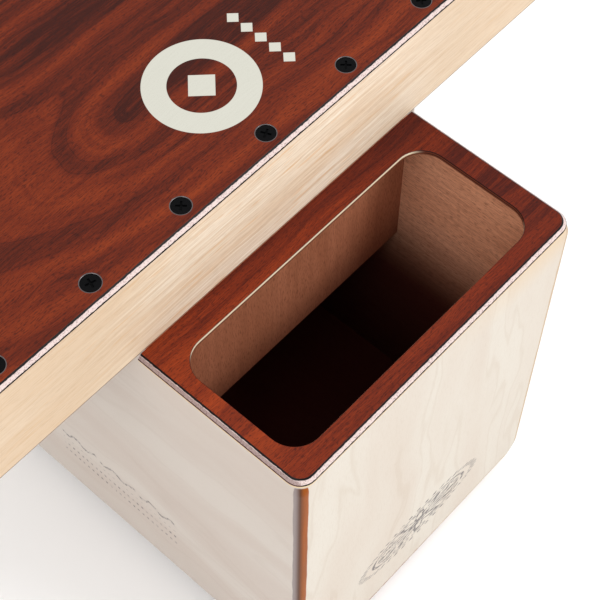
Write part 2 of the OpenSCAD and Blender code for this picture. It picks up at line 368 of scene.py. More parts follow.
def useGroup(group, **values):
    # places a group with its own values; its outputs come back by name
    tree = next(value.tree for value in values.values() if isinstance(value, graphValue))
    made = addNode(tree, "Group", node_tree=group)
    for label, value in values.items():
        feed(made.inputs[label], value)
    return SimpleNamespace(**{socket.name: graphValue(tree, socket) for socket in made.outputs})


def newMaterial(name):
    # a material with its shader, and the position on the piece in millimetres
    material = bpy.data.materials.new(name)
    material.use_nodes = True
    tree = material.node_tree
    place = graphValue(tree, addNode(tree, "TexCoord").outputs["Object"])
    return material, tree.nodes["Principled BSDF"], vectorCalc("MULTIPLY", place, (1 / mm, 1 / mm, 1 / mm))


def setFinish(shader, colour, roughness, height=None, depth=0.05, strength=0.3, metal=0.0, **constants):
    # colour, roughness and bump of a finish; height is in parts of depth, which is in millimetres
    feed(shader.inputs["Base Color"], colour)
    feed(shader.inputs["Roughness"], roughness)
    for label, value in {"Metallic": metal, **constants}.items():
        shader.inputs[label].default_value = value
    if height is not None:
        bump = addNode(shader.id_data, "Bump")
        bump.inputs["Strength"].default_value = strength
        bump.inputs["Distance"].default_value = depth * mm
        feed(bump.inputs["Height"], height)
        shader.id_data.links.new(bump.outputs[0], shader.inputs["Normal"])


def turnedTo(place, axes):
    # the position with its axes in another order, so that the grain's length comes first
    xyz = dict(zip("xyz", parts(place)))
    return vectorOf(*(xyz[axis] for axis in axes))


# shared effects
def makeGrainFlow():
    # position along, across and below the grain, pushed sideways by slow noise. Ring is the distance to a
    # half line that starts at Eye and runs along the grain: its levels are arches that open that way.
    group, given, out = makeGroup("grainFlow", "Flow Ring", Position=(0, 0, 0), Eye=(0, 0, 0), Wander=6.0, Swirl=0.0)
    x, y, z = parts(vectorCalc("SUBTRACT", given.Position, given.Eye))
    slow = cloud(given.Position, (95, 42, 42)) - 0.5
    fast = cloud(given.Position, (33, 12, 12)) - 0.5
    push = (fast * 0.07 + slow) * given.Wander
    across = push * 2.0 + y
    behind = calc("MINIMUM", push * -2.4 + x, 0.0)
    squeezed = behind / (abs(behind) * 0.006 + 1.0)
    arch = awayFrom(squeezed * 0.72, across)
    giveOut(out, Flow=vectorOf(x, across, z), Ring=arch * given.Swirl + across * (1.0 - given.Swirl))
    return group


def makeFibres():
    # long thin noise along the grain: wide streaks, fine fibres, and short dark pores
    group, given, out = makeGroup("fibres", "Streak Fine Pore", Flow=(0, 0, 0), Length=60.0, Width=3.0, Pores=5.0)
    fineWidth = given.Width * 0.16
    streak = cloud(given.Flow, vectorOf(given.Length, given.Width, given.Width), 4, 0.6)
    fine = cloud(given.Flow, vectorOf(given.Length * 0.3, fineWidth, fineWidth), 3, 0.7)
    pore = cloud(given.Flow, vectorOf(given.Pores, 0.5, 0.5), 1)
    giveOut(out, Streak=spread(streak, 0.3, 0.7), Fine=spread(fine, 0.25, 0.75), Pore=spread(pore, 0.52, 0.66))
    return group


def makeRingTone():
    # irregular bands across the ring field, as growth rings show on a face, and thin lines between them
    group, given, out = makeGroup("ringTone", "Tone Line", Ring=0.0, Flow=(0, 0, 0), Spacing=9.0)
    banded = cloud(vectorOf(given.Ring / given.Spacing, parts(given.Flow)[0] / 260.0, 0.0), (1, 1, 1), 2, 0.45)
    giveOut(out, Tone=spread(banded, 0.3, 0.7), Line=spread(calc("PINGPONG", banded * 9.0, 1.0), 0.0, 0.22, 1.0, 0.0))
    return group


panelEdge = {"thick": 3.0, "speck": paint(104, 70, 72),
             "layers": [(0.0, paint(44, 14, 10)), (0.05, paint(12, 6, 6)), (0.22, paint(10, 5, 5)),
                        (0.26, paint(202, 184, 180)), (0.73, paint(208, 190, 184)), (0.76, paint(8, 5, 5)),
                        (1.0, paint(8, 5, 5))]}


def makeEdgeLayers():
    # layers of a thin panel by the depth below its face: dark glue line, speckled pale core, dark glue line
    group, given, out = makeGroup("edgeLayers", "Colour Mask", Depth=0.0, Position=(0, 0, 0))
    ripple = cloud(given.Position, (2.2, 2.2, 2.2)) - 0.5
    share = (ripple * 0.5 + given.Depth) / panelEdge["thick"]
    spots = spread(cloud(given.Position, (0.9, 0.9, 0.5), 3, 0.65), 0.52, 0.62)
    inCore = spread(share, 0.24, 0.3) * spread(share, 0.76, 0.72)
    giveOut(out, Colour=layered(colourSteps(share, panelEdge["layers"]), (spots * inCore * 0.55, panelEdge["speck"])),
            Mask=spread(given.Depth, 0.03, 0.08))
    return group


def makeSanding():
    # distances inside the box's outer planes: where two of them are small is an edge, and all large is inside.
    # Turn goes from 0 on the side wall to 1 on the end wall across an upright edge.
    group, given, out = makeGroup("sanding", "Turn Edge Inside", Position=(0, 0, 0), Half=100.0, Front=0.0, Back=0.0,
                                  Low=0.0)
    x, y, z = parts(given.Position)
    sideDepth, endDepth, lowDepth = given.Half - abs(x), smallest(y - given.Front, given.Back - y), z - given.Low
    nearer = smallest(sideDepth, endDepth)
    nearest = smallest(nearer, lowDepth)
    second = largest(nearer, smallest(largest(sideDepth, endDepth), lowDepth))
    ripple = cloud(given.Position, (4, 4, 20), 3) * 1.6 - 0.8
    strip = spread(second + ripple, 5.3, 4.7)
    onSkin, outside = spread(nearest, 4.6, 5.2, 1.0, 0.0), spread(nearest, -0.4, -0.2)
    giveOut(out, Turn=spread(sideDepth - endDepth, -6.0, 6.0, kind="LINEAR"), Edge=strip * onSkin * outside,
            Inside=spread(nearest, 5.0, 6.0))
    return group


emblem = {"place": (0.5, -25.0, 0.0), "outer": 28.5, "inner": 16.5, "lozenge": 9.0, "rowAway": 40.5, "rowStep": 9.2,
          "rowCount": 5, "rowSize": 3.9, "pale": paint(192, 191, 180), "worn": paint(176, 172, 160)}


def makeRingPrint():
    # printed emblem: a thick ring with a lozenge in its middle, and a row of small lozenges beside it. Each shape
    # is a distance that is negative inside, and the least of them is inked where it is negative.
    group, given, out = makeGroup("ringPrint", "Mask", Position=(0, 0, 0), Outer=28.0, Inner=17.0, Lozenge=9.0)
    x, y, z = parts(given.Position)
    ring = abs(awayFrom(x, y) - (given.Outer + given.Inner) * 0.5) - (given.Outer - given.Inner) * 0.5
    lozenge = abs(x) + abs(y) - given.Lozenge
    step, halfRow = emblem["rowStep"], emblem["rowStep"] * emblem["rowCount"] / 2
    inRow = calc("PINGPONG", y + (halfRow + 100 * step), step / 2)
    small = abs(x - emblem["rowAway"]) + (step / 2 - inRow) - emblem["rowSize"]
    nearest = smallest(ring, lozenge, largest(small, abs(y) - halfRow))
    giveOut(out, Mask=spread(nearest, -0.06, 0.06, 1.0, 0.0))
    return group


def makeSpeckle():
    # one tone broken by fine noise and by a slower cloud; roughness rises and falls with the fine noise
    group, given, out = makeGroup("speckle", "Colour Roughness Height", Position=(0, 0, 0), Grain=(0.8, 0.8, 0.8),
                                  Tone=(0.5, 0.5, 0.5, 1), Spot=(0.3, 0.3, 0.3, 1), Amount=0.35, Middle=0.4)
    fine = cloud(given.Position, given.Grain, 4, 0.65)
    slow = spread(cloud(given.Position, (9, 9, 9), 3, 0.55), 0.4, 0.65)
    giveOut(out, Colour=layered(given.Tone, (fine * given.Amount, given.Spot), (slow * given.Amount * 0.6, given.Spot)),
            Roughness=(fine - 0.5) * 0.16 + given.Middle, Height=fine)
    return group


grainFlow, fibres, ringTone, edgeLayers = makeGrainFlow(), makeFibres(), makeRingTone(), makeEdgeLayers()
sanding, ringPrint, speckle = makeSanding(), makeRingPrint(), makeSpeckle()

# veneer of the playing panel and of the port panel
veneerLook = {"dark": paint(56, 18, 10), "mid": paint(97, 33, 14), "light": paint(126, 49, 19),
              "eyes": [(-34, -9, 0), (-52, 50, 0)], "swirl": 1.0, "wander": 9.0, "spacing": 10.0, "rings": 0.5,
              "heart": 0.2, "top": face, "patch": (-30, 62, face), "patchSize": (55, 34, 90),
              "strip": (-30.0, -76.0, 0.0, 0.14)}
portLook = {"dark": paint(68, 20, 11), "mid": paint(106, 36, 15), "light": paint(142, 55, 21),
            "eyes": [(-400, 40, 0)], "swirl": 0.0, "wander": 7.0, "spacing": 13.0, "rings": 0.34, "heart": 0.0,
            "top": wing, "fade": (-95.0, 95.0, 0.2, -0.24)}
veneerSet = {"length": 60.0, "width": 3.6, "pores": 2.6, "pore": paint(34, 11, 10), "base": 0.38, "merge": 22.0,
             "rough": 0.39, "specular": 0.12, "coat": 0.03, "coatRough": 0.25}
# the second set of rim layers is painted shade for the opening's two short edges, and the last colour is painted shade
# on the port panel's left edge
rimLook = {"rimLayers": [(0.05, paint(70, 30, 20)), (0.14, paint(238, 224, 196)), (0.52, paint(232, 214, 184)),
                     (0.62, paint(128, 80, 56)), (1.0, paint(112, 66, 46))],
           "shadedShortEdges": [(0.12, paint(14, 6, 5)), (0.2, paint(110, 58, 42)), (0.5, paint(96, 50, 36)),
                       (0.56, paint(16, 8, 7)), (0.66, paint(18, 9, 7)), (0.72, paint(124, 72, 52))],
           "leftEdgeShade": paint(96, 62, 60)}


def veneerMaterial(name, look, fade, emblemInk=None, rim=None):
    # dark veneer: growth rings and streaks pick the tone, fine fibres and pores break it up, edges show the layers
    material, shader, place = newMaterial(name)
    flows = [useGroup(grainFlow, Position=place, Eye=eye, Wander=look["wander"], Swirl=look["swirl"])
             for eye in look["eyes"]]
    flow, field = flows[0].Flow, flows[0].Ring
    for other in flows[1:]:
        field = calc("SMOOTH_MIN", field, other.Ring, veneerSet["merge"])
    fibre = useGroup(fibres, Flow=flow, Length=veneerSet["length"], Width=veneerSet["width"], Pores=veneerSet["pores"])
    ring = useGroup(ringTone, Ring=field, Flow=flow, Spacing=look["spacing"])
    tone = ring.Tone * look["rings"] + (veneerSet["base"] - look["rings"] / 2)
    tone = tone + fibre.Streak * 0.2 + (fibre.Fine - 0.5) * 0.36 - ring.Line * 0.16
    tone = fade(place, tone - spread(field, 8.0, 18.0, look["heart"], 0.0))
    colour = colourSteps(tone, [(0.05, look["dark"]), (0.5, look["mid"]), (0.95, look["light"])])
    colour = layered(colour, (fibre.Pore * 0.5, veneerSet["pore"]))
    rough = fibre.Fine * 0.1 + veneerSet["rough"]
    if emblemInk:
        ink = emblemInk(place)
        colour = layered(colour, (ink, layered(emblem["pale"], (fibre.Fine * 0.2, emblem["worn"]))))
        rough = ink * 0.12 + rough
    depth = look["top"] - parts(place)[2]
    edge = useGroup(edgeLayers, Depth=depth, Position=place)
    colour = layered(colour, (edge.Mask, rim(place, depth, edge.Colour) if rim else edge.Colour))
    setFinish(shader, colour, rough, fibre.Fine * 0.4 - fibre.Pore, 0.06, 0.35,
              **{"Specular IOR Level": veneerSet["specular"], "Coat Weight": veneerSet["coat"],
                 "Coat Roughness": veneerSet["coatRough"]})
    return material


def facePrint(place):
    # the ring emblem, set on its middle
    return useGroup(ringPrint, Position=vectorCalc("SUBTRACT", place, emblem["place"]), Outer=emblem["outer"],
                    Inner=emblem["inner"], Lozenge=emblem["lozenge"]).Mask


def darkPatch(place, tone):
    # a slightly darker oval patch towards the back, and a slightly lighter front strip
    fromPatch = vectorCalc("SUBTRACT", place, veneerLook["patch"])
    away = vectorCalc("LENGTH", vectorCalc("DIVIDE", fromPatch, veneerLook["patchSize"]))
    return tone - spread(away, 0.2, 1.3, 0.04, 0.0) + spread(parts(place)[1], *veneerLook["strip"])


def portFade(place, tone):
    # lighter at the left end, darker at the right end
    return tone + spread(parts(place)[0], *portLook["fade"], "LINEAR")


def portRim(place, depth, layers):
    # the left edge's core is darker as painted shade. The opening's rim is pale wood behind the dark veneer, and its
    # two short edges carry painted shade: a darker copy of the layers.
    x, y, z = parts(place)
    share = depth / panelEdge["thick"]
    rim = spread(y, bodyFront + 8, bodyFront + 10) * spread(abs(x), 93.0, 91.0)
    # painted shade on the left edge's core
    leftEdgeShade = spread(x, 3.4 - bodyHalf, 2.4 - bodyHalf) * spread(depth, 0.8, 1.0, 0.0, 0.55)
    # painted shade on the opening's two short edges, which face sideways
    shadedShortEdges = spread(abs(x - panels["openingMiddle"]), 78.0, 85.0)
    rimColour = layered(colourSteps(share, rimLook["rimLayers"]), (shadedShortEdges, colourSteps(share, rimLook["shadedShortEdges"])))
    return layered(layers, (leftEdgeShade, rimLook["leftEdgeShade"]), (rim, rimColour))


panels = {"corner": 4.5, "chamfer": 2.5, "lip": 0.4, "portCorner": 9.0, "openingMiddle": -2.0, "openingHalf": 87.5,
          "openingFront": 12.4, "openingBack": 87.4, "openingCorner": 15.0, "softEdge": 0.45}
playingVeneer = veneerMaterial("playingVeneer", veneerLook, darkPatch, emblemInk=facePrint)
portVeneer = veneerMaterial("portVeneer", portLook, portFade, rim=portRim)

def boardGrain(place, axes, wander, length, width, pores):
    # where a board's grain flows, and its streaks, fine fibres and pores
    flow = useGroup(grainFlow, Position=turnedTo(place, axes), Eye=(0, 0, 0), Wander=wander, Swirl=0.0).Flow
    return flow, useGroup(fibres, Flow=flow, Length=length, Width=width, Pores=pores)


# pale wood of the rails
# the end colour is painted shade, laid on the rails towards their ends
railLook = {"pale": paint(246, 234, 216), "mid": paint(236, 216, 192), "warm": paint(216, 174, 130),
            "end": paint(196, 170, 140), "fleck": paint(222, 168, 106), "streak": paint(196, 158, 116),
            "pore": paint(150, 110, 72), "sanded": paint(176, 120, 70), "lowLine": paint(84, 42, 28),
            "rough": 0.45, "specular": 0.3}


def railMaterial(name, axes):
    # solid pale wood: long soft streaks, warmer in places, darker towards the ends as painted shade, with a dark line
    # along the lower edge
    material, shader, place = newMaterial(name)
    x, y, z = parts(place)
    flow, fibre = boardGrain(place, axes, 3.0, 110.0, 3.2, 7.0)
    thin = useGroup(fibres, Flow=flow, Length=70.0, Width=1.5, Pores=4.0)
    sand = useGroup(sanding, Position=place, Half=topHalf, Front=topFront, Back=back, Low=wing - 50)
    lowEdge = spread(z, wing + 1.4, wing + 1.0) * spread(z, wing + 0.01, wing + 0.05, 0.0, 0.85)
    colour = layered(colourSteps(fibre.Streak, [(0.0, railLook["mid"]), (0.6, railLook["pale"])]),
                     (spread(cloud(flow, (170, 26, 26)), 0.35, 0.7) * 0.34, railLook["warm"]),
                     ((1.0 - thin.Streak) * 0.5, railLook["streak"]),
                     (spread(cloud(flow, (26, 2.6, 2.6)), 0.58, 0.72, 0.0, 0.45), railLook["fleck"]),
                     # painted shade: darker towards the ends
                     (spread(abs(x), 30.0, 140.0, 0.0, 0.75), railLook["end"]),
                     (fibre.Pore * 0.16, railLook["pore"]), (sand.Edge * 0.35, railLook["sanded"]),
                     (lowEdge, railLook["lowLine"]))
    setFinish(shader, colour, fibre.Fine * 0.1 + railLook["rough"], fibre.Fine - fibre.Pore,
              **{"Specular IOR Level": railLook["specular"]})
    return material


railAlongX, railAlongY = railMaterial("railAlongX", "xzy"), railMaterial("railAlongY", "yzx")

# plywood of the resonance box, with its printed marks
frontLook = {"pale": paint(205, 198, 187), "tint": paint(197, 184, 171), "line": paint(170, 148, 124)}
sideLook = {"pale": paint(196, 187, 178), "tint": paint(186, 172, 162), "line": paint(168, 152, 140)}
# warmer brown inside colours, also darker than the outside as painted shade; the darkest one is painted shade laid over
# the inside towards the bottom of the box
insideLook = {"pale": paint(178, 114, 86), "tint": paint(160, 98, 70), "line": paint(128, 72, 50),
              "deep": paint(58, 9, 12), "light": paint(204, 140, 100), "pore": paint(104, 54, 36)}
# painted light: a paler copy of the inside colours for the right wall, whose inside face is lit
rightInsideLit = {**insideLook, "pale": paint(236, 176, 142), "tint": paint(216, 152, 116)}
# the first colour is a grey painted highlight on the side wall's half of each rounded edge
edgeLook = {"side": paint(140, 128, 126), "middle": paint(84, 50, 30), "end": paint(148, 74, 8),
            "endLow": paint(142, 80, 20), "far": paint(190, 172, 146), "lip": paint(214, 186, 142),
            "warm": paint(206, 168, 112)}
plySet = {"length": 45.0, "width": 2.6, "pores": 4.0, "wander": 22.0, "rough": 0.42, "specular": 0.1}
seal = {"x": 1.0, "z": 56.0, "half": 53.0, "tall": 18.0, "dots": 44.0, "innerDots": 30.0, "petals": 12.0,
        "ink": paint(84, 78, 82)}
waveLine = {"y": -43.0, "z": 67.0, "half": 46.0, "pitch": 0.42, "tall": 4.2, "ink": paint(92, 88, 90)}


def plyMaterial(name, look, axes, spacing, lines, inside=insideLook, mark=None, warmTop=0.0):
    # birch ply: a broad figure of faint wavy lines, fine fibres, the next ply with a grey painted highlight on the
    # sanded edges, warmer inside and darker there as painted shade, most towards the bottom
    material, shader, place = newMaterial(name)
    x, y, z = parts(place)
    figure = useGroup(grainFlow, Position=turnedTo(place, axes), Eye=(0, 0, 0), Wander=plySet["wander"], Swirl=0.0)
    fibre = boardGrain(place, axes, 3.0, plySet["length"], plySet["width"], plySet["pores"])[1]
    ring = useGroup(ringTone, Ring=figure.Ring, Flow=figure.Flow, Spacing=spacing)
    colour = layered(look["pale"], (ring.Tone * 0.7, look["tint"]), (ring.Line * lines, look["line"]),
                     ((1.0 - fibre.Fine) * 0.12, look["line"]), (fibre.Pore * 0.1, look["line"]))
    if warmTop:
        colour = layered(colour, (spread(z, seat - 30, seat) * spread(x, -10.0, bodyHalf) * warmTop, edgeLook["warm"]))
    if mark:
        amount, ink = mark(place)
        lip = spread(z, seat - 1.1, seat - 0.7) * spread(y, topFront, topFront - 0.5, 0.0, 0.8)
        colour = layered(colour, (amount, ink), (lip, edgeLook["lip"]))
    sand = useGroup(sanding, Position=place, Half=bodyHalf, Front=bodyFront, Back=back, Low=ground)
    endColour = layered(edgeLook["end"], (spread(z, ground, seat - 20, 0.7, 0.0, "LINEAR"), edgeLook["endLow"]),
                        (fibre.Streak * 0.25, edgeLook["middle"]))
    # each sanded edge: a grey painted highlight on the side wall's half, then the next ply's dark brown and end-grain
    # colours
    plyEdgeAndHighlight = layered(edgeLook["side"], (spread(sand.Turn, 0.14, 0.5), edgeLook["middle"]),
                      (spread(sand.Turn, 0.42, 0.72), endColour), (spread(x, -20.0, 60.0) * 0.75, edgeLook["far"]))
    belowLip = largest(spread(z, seat - 0.9, seat - 2.0), spread(y, topFront - 0.5, topFront))
    # the inside: warmer brown, darker as painted shade, with deeper painted shade towards the bottom of the box
    inner = layered(inside["pale"], (ring.Tone * 0.6, inside["tint"]), (fibre.Streak * 0.35, inside["line"]),
                    (fibre.Fine * 0.3, inside["light"]), (fibre.Pore * 0.5, inside["pore"]),
                    (spread(z, 190.0, 105.0, 0.0, 0.94), inside["deep"]))
    colour = layered(colour, (sand.Edge * belowLip, plyEdgeAndHighlight), (sand.Inside, inner))
    setFinish(shader, colour, fibre.Fine * 0.1 + plySet["rough"], fibre.Fine - fibre.Pore, 0.05, 0.25,
              **{"Specular IOR Level": plySet["specular"]})
    return material


def worn(place, low, high):
    # patchy ink
    return spread(cloud(place, (2.5, 2.5, 2.5), 3, 0.6), low, high)


def dottedSeal(place):
    # faint ink: dotted ovals round a rosette of petals, made from the angle and the squashed distance
    x, y, z = parts(place)
    across, high = (x - seal["x"]) / seal["half"], (z - seal["z"]) / seal["tall"]
    away, turn = awayFrom(across, high), calc("ARCTAN2", high, across)
    outerDots = spread(abs(away - 0.92), 0.07, 0.04) * spread(calc("SINE", turn * seal["dots"]), -0.1, 0.5)
    innerDots = spread(abs(away - 0.63), 0.05, 0.03) * spread(calc("SINE", turn * seal["innerDots"]), 0.0, 0.5)
    petals = calc("COSINE", turn * seal["petals"]) * 0.16 + 0.42
    ink = largest(outerDots, innerDots, spread(abs(away - 0.74), 0.035, 0.015), spread(abs(away - petals), 0.11, 0.08),
                  spread(away, 0.2, 0.16))
    onFace = spread(y, bodyFront + 0.4, bodyFront + 0.2)
    return ink * worn(place, 0.3, 0.52) * onFace * 0.85, seal["ink"]


def flourish(place):
    # faint ink: a wave whose height wanders, and three rows of short dashes under it
    x, y, z = parts(place)
    along, low = y - waveLine["y"], waveLine["z"]
    slow = cloud(vectorOf(along, 0.0, 0.0), (6.5, 1, 1), 1)
    swing = calc("SINE", along * waveLine["pitch"]) * (slow * waveLine["tall"]) + (slow - 0.5) * 5.0
    gaps = spread(calc("PINGPONG", along + waveLine["half"], 15.5), 0.8, 2.4)
    wave = spread(abs(z - (low + 9) - swing), 1.6, 0.8) * gaps
    rows = (spread(calc("PINGPONG", z - (low - 18), 4.0), 2.7, 3.2)
            * (spread(z, low - 20, low - 19) * spread(z, low + 2, low + 1)))
    dashes = spread(calc("SINE", along * 1.7), 0.0, 0.4)
    ends = spread(abs(along), waveLine["half"], waveLine["half"] - 1)
    onFace = spread(x, -bodyHalf + 0.4, -bodyHalf + 0.2)
    return largest(wave, rows * dashes) * worn(place, 0.36, 0.6) * (onFace * ends * 0.8), waveLine["ink"]


frontPly = plyMaterial("frontPly", frontLook, "zxy", 30.0, 0.16, mark=dottedSeal, warmTop=0.4)
leftPly = plyMaterial("leftPly", sideLook, "yzx", 34.0, 0.14, mark=flourish)
rightPly = plyMaterial("rightPly", sideLook, "yzx", 34.0, 0.14, inside=rightInsideLit)
backPly = plyMaterial("backPly", frontLook, "zxy", 30.0, 0.18)
floorPly = plyMaterial("floorPly", sideLook, "yxz", 30.0, 0.14)
chimneyPly = plyMaterial("chimneyPly", insideLook, "zxy", 22.0, 0.25)

# metal, rubber and the other small finishes
def simpleMaterial(name, tone, spot, middle, metal=0.0, grain=(0.8, 0.8, 0.8), depth=0.03, strength=0.4, **constants):
    # one tone with fine spots; middle is the roughness that the spots vary
    material, shader, place = newMaterial(name)
    spotted = useGroup(speckle, Position=place, Grain=grain, Tone=tone, Spot=spot, Middle=middle)
    setFinish(shader, spotted.Colour, spotted.Roughness, spotted.Height, depth, strength, metal, **constants)
    return material


blackSteel = simpleMaterial("blackSteel", paint(4, 4, 5), paint(14, 14, 16), 0.5, **{"Specular IOR Level": 0.06})
rimSteel = simpleMaterial("rimSteel", paint(120, 112, 112), paint(70, 62, 62), 0.36, 1.0)
bareSteel = simpleMaterial("bareSteel", paint(196, 196, 198), paint(140, 140, 146), 0.28, 1.0, (6, 0.5, 0.5))
coilSteel = simpleMaterial("coilSteel", paint(205, 205, 206), paint(150, 150, 156), 0.25, 1.0)
nylon = simpleMaterial("nylon", paint(222, 218, 204), paint(200, 194, 176), 0.5)
brass = simpleMaterial("brass", paint(200, 158, 84), paint(150, 112, 52), 0.3, 1.0, (0.6, 7, 0.6))
leverPaint = simpleMaterial("leverPaint", paint(24, 24, 26), paint(48, 48, 52), 0.45, 0.0, (0.5, 0.5, 0.5), 0.05)
rubber = simpleMaterial("rubber", paint(26, 26, 27), paint(52, 51, 50), 0.75, 0.0, (0.7, 0.7, 0.7), 0.08, 0.6)

beechLook = {"dark": paint(170, 122, 86), "pale": paint(206, 162, 122), "pore": paint(120, 74, 46)}


def beechMaterial():
    # beech: pinkish tan with many short dark flecks along the grain
    material, shader, place = newMaterial("beech")
    fibre = boardGrain(place, "yxz", 2.0, 30.0, 1.8, 2.4)[1]
    colour = colourSteps(fibre.Streak, [(0.0, beechLook["dark"]), (1.0, beechLook["pale"])])
    setFinish(shader, layered(colour, (fibre.Pore * 0.6, beechLook["pore"])), fibre.Fine * 0.1 + 0.45, fibre.Fine)
    return material


beech = beechMaterial()
print("finishes ready")

# thin panels
screwSet = {"pitch": 55.5, "inset": 10.5, "mouth": 5.4, "head": 4.85, "sink": 0.3, "tall": 2.6, "long": 20.0,
            "shank": 1.75, "arm": 2.6, "armHalf": 0.55, "deep": 1.2, "dome": 0.05, "seed": 7,
            "cone": [(5.4, 0.0), (5.34, 0.06), (2.6, 2.86)],
            "rim": [(4.86, -0.5), (4.88, -0.16), (5.0, -0.05), (5.2, -0.04), (5.34, -0.1), (5.3, -0.2), (5.1, -0.4)]}


def screwPlaces():
    # whole steps along X and Y round the edge of the playing face
    pitch, middleY = screwSet["pitch"], (topFront + back) / 2
    stepsX = int((topHalf - screwSet["inset"] + 0.1) // pitch)
    stepsY = int(((back - topFront) / 2 - screwSet["inset"] + 0.1) // pitch)
    i, j = np.meshgrid(np.arange(-stepsX, stepsX + 1), np.arange(-stepsY, stepsY + 1), indexing="ij")
    onEdge = (abs(i) == stepsX) | (abs(j) == stepsY)
    return np.column_stack([i[onEdge] * pitch, middleY + j[onEdge] * pitch])


def panelRings(outlineAt, low, high):
    # rings from the underside up a short lip, over a slightly bulged chamfer, to a support ring on the face
    t = np.linspace(0, 1, 7)
    wide, tall = panels["chamfer"], high - low - panels["lip"]
    bulge = 0.12 * np.sin(np.pi * t)
    inset = np.concatenate([[0.05, 0], wide * t - bulge, [wide + 0.8]])
    level = np.concatenate([[low, low + 0.05], low + panels["lip"] + tall * t + bulge * (t < 1) * 0.5, [high]])
    return np.stack([atLevel(outlineAt(i), z) for i, z in zip(inset, np.minimum(level, high))])


def playingPanelShape():
    # chamfered panel whose face has a ring of countersunk holes, each a short cone closed at its bottom
    def outline(inset):  # moved inwards by inset, with smaller corners
        return cornerOutline(topHalf - inset, topFront + inset, back - inset, [panels["corner"] - inset * 0.8] * 4)
    rings = panelRings(outline, under, face)
    shapes = [ringStack(rings, capEnd=False),
              flatFace(rings[-1, :, :2], [circle(place, screwSet["mouth"]) for place in places], face)]
    for place in places:
        cone = np.stack([atLevel(circle(place, radius), face - deep) for radius, deep in screwSet["cone"]])
        shapes.append(ringStack(cone, capStart=False))
    return joinShapes(shapes)


def opening(more):
    # outline of the port opening, grown by more on every side
    lowY, highY = bodyFront + panels["openingFront"] - more, bodyFront + panels["openingBack"] + more
    loop = cornerOutline(panels["openingHalf"] + more, lowY, highY, [panels["openingCorner"] + more] * 4, 12)
    return loop + np.array([panels["openingMiddle"], 0.0])


def portPanelShape():
    # chamfered panel, square at its back edge, with a rounded opening whose upper rim is a quarter circle
    def outline(inset):  # moved inwards by inset, except at the back
        radii = [panels["portCorner"] - inset * 0.8] * 2 + [0.02, 0.02]
        return cornerOutline(bodyHalf - inset, bodyFront + inset, topFront, radii)
    rings = panelRings(outline, seat, wing)
    soft = panels["softEdge"]
    rim = [(soft * (1 - math.sin(a)), wing - soft * (1 - math.cos(a))) for a in np.linspace(0, np.pi / 2, 5)]
    mouth = np.stack([atLevel(opening(more), z) for more, z in [(soft + 0.5, wing), *rim, (0.0, seat)]])
    return joinShapes([ringStack(rings, False, False), flatFace(rings[-1, :, :2], [opening(soft + 0.5)], wing),
                       ringStack(mouth, False, False), flatFace(rings[0, :, :2], [opening(0.0)], seat)])


places = screwPlaces()
makePiece("playing_panel", playingPanelShape(), "case", [playingVeneer], "playing_surface")
makePiece("port_frame", portPanelShape(), "case", [portVeneer], "port_panel")
print("panels ready, with", len(places), "screw holes")

# mitred walls and rails
wallSet = {"thick": 9.0, "corner": 4.5, "topCorner": 9.0, "blend": 7.0, "bottomSide": 12.0, "bottomMost": 8.6,
           "bottomEnd": 4.5, "bottomCorner": 7.0, "support": 0.7,
           "rise": [0, 0.15, 0.5, 1.0, 1.7, 2.5, 3.4, 4.5, 6, 8, 10, 12, 14, 16, 17],
           "below": [7.6, 7, 5.5, 4, 3, 2, 1, 0.4, 0.12]}
railSet = {"thick": 20.0, "corner": 4.5, "soft": 0.9, "rise": [0, 0.07, 0.25, 0.5, 0.9, 1.5, 30]}


def quarterInset(rise, radius, most=99.0):
    # how far a rounded lower edge stands in at a height above the underside: a quarter circle
    up = np.clip(rise, 0, radius)
    return np.minimum(radius - np.sqrt(radius ** 2 - (radius - up) ** 2), most)


def wallLoop(side, halfX, lowY, highY, radii, inner, steps=8):
    # one wall's outline seen from above: from the middle of one rounded corner to the middle of the next,
    # with a support point just past each corner, then back along the inner face
    loop = cornerOutline(halfX, lowY, highY, radii, steps).reshape(4, steps + 1, 2)
    first, second = loop[side][steps // 2:], loop[(side + 1) % 4][:steps // 2 + 1]
    way = second[0] - first[-1]
    step = way / np.linalg.norm(way) * wallSet["support"]
    x, y0, y1 = inner
    innerCorners = np.array([(-x, y0), (x, y0), (x, y1), (-x, y1)])
    return np.concatenate([first, [first[-1] + step, second[0] - step], second, innerCorners[[(side + 1) % 4, side]]])


def wallRings(side, levels, halfX, lowY, highY, thick, shape):
    # wall outlines at each level; shape(z) gives the insets along X and Y and the four corner radii
    inner = (halfX - thick, lowY + thick, highY - thick)
    rings = []
    for z in levels:
        insetX, insetY, radii = shape(z)
        rings.append(atLevel(wallLoop(side, halfX - insetX, lowY + insetY, highY - insetY, radii, inner), z))
    return np.stack(rings)


def boxShape(z):
    # the resonance box's rounding: wide along its long lower edges, small at front and back, fuller at the
    # port's corners, which grow from one radius to the other by a smooth step
    rise, near = z - ground, smoothStep((z - (seat - wallSet["blend"])) / wallSet["blend"])
    frontRadius = wallSet["corner"] + (wallSet["topCorner"] - wallSet["corner"]) * near
    low = wallSet["bottomCorner"] * np.clip(1 - rise / 16, 0, 1) ** 2
    insetX = quarterInset(rise, wallSet["bottomSide"], wallSet["bottomMost"])
    return insetX, quarterInset(rise, wallSet["bottomEnd"]), [frontRadius + low] * 2 + [wallSet["corner"] + low] * 2


def railShape(z):
    # a small soft edge along the rails' lower edges
    inset = quarterInset(z - wing, railSet["soft"])
    return inset, inset, [railSet["corner"]] * 4


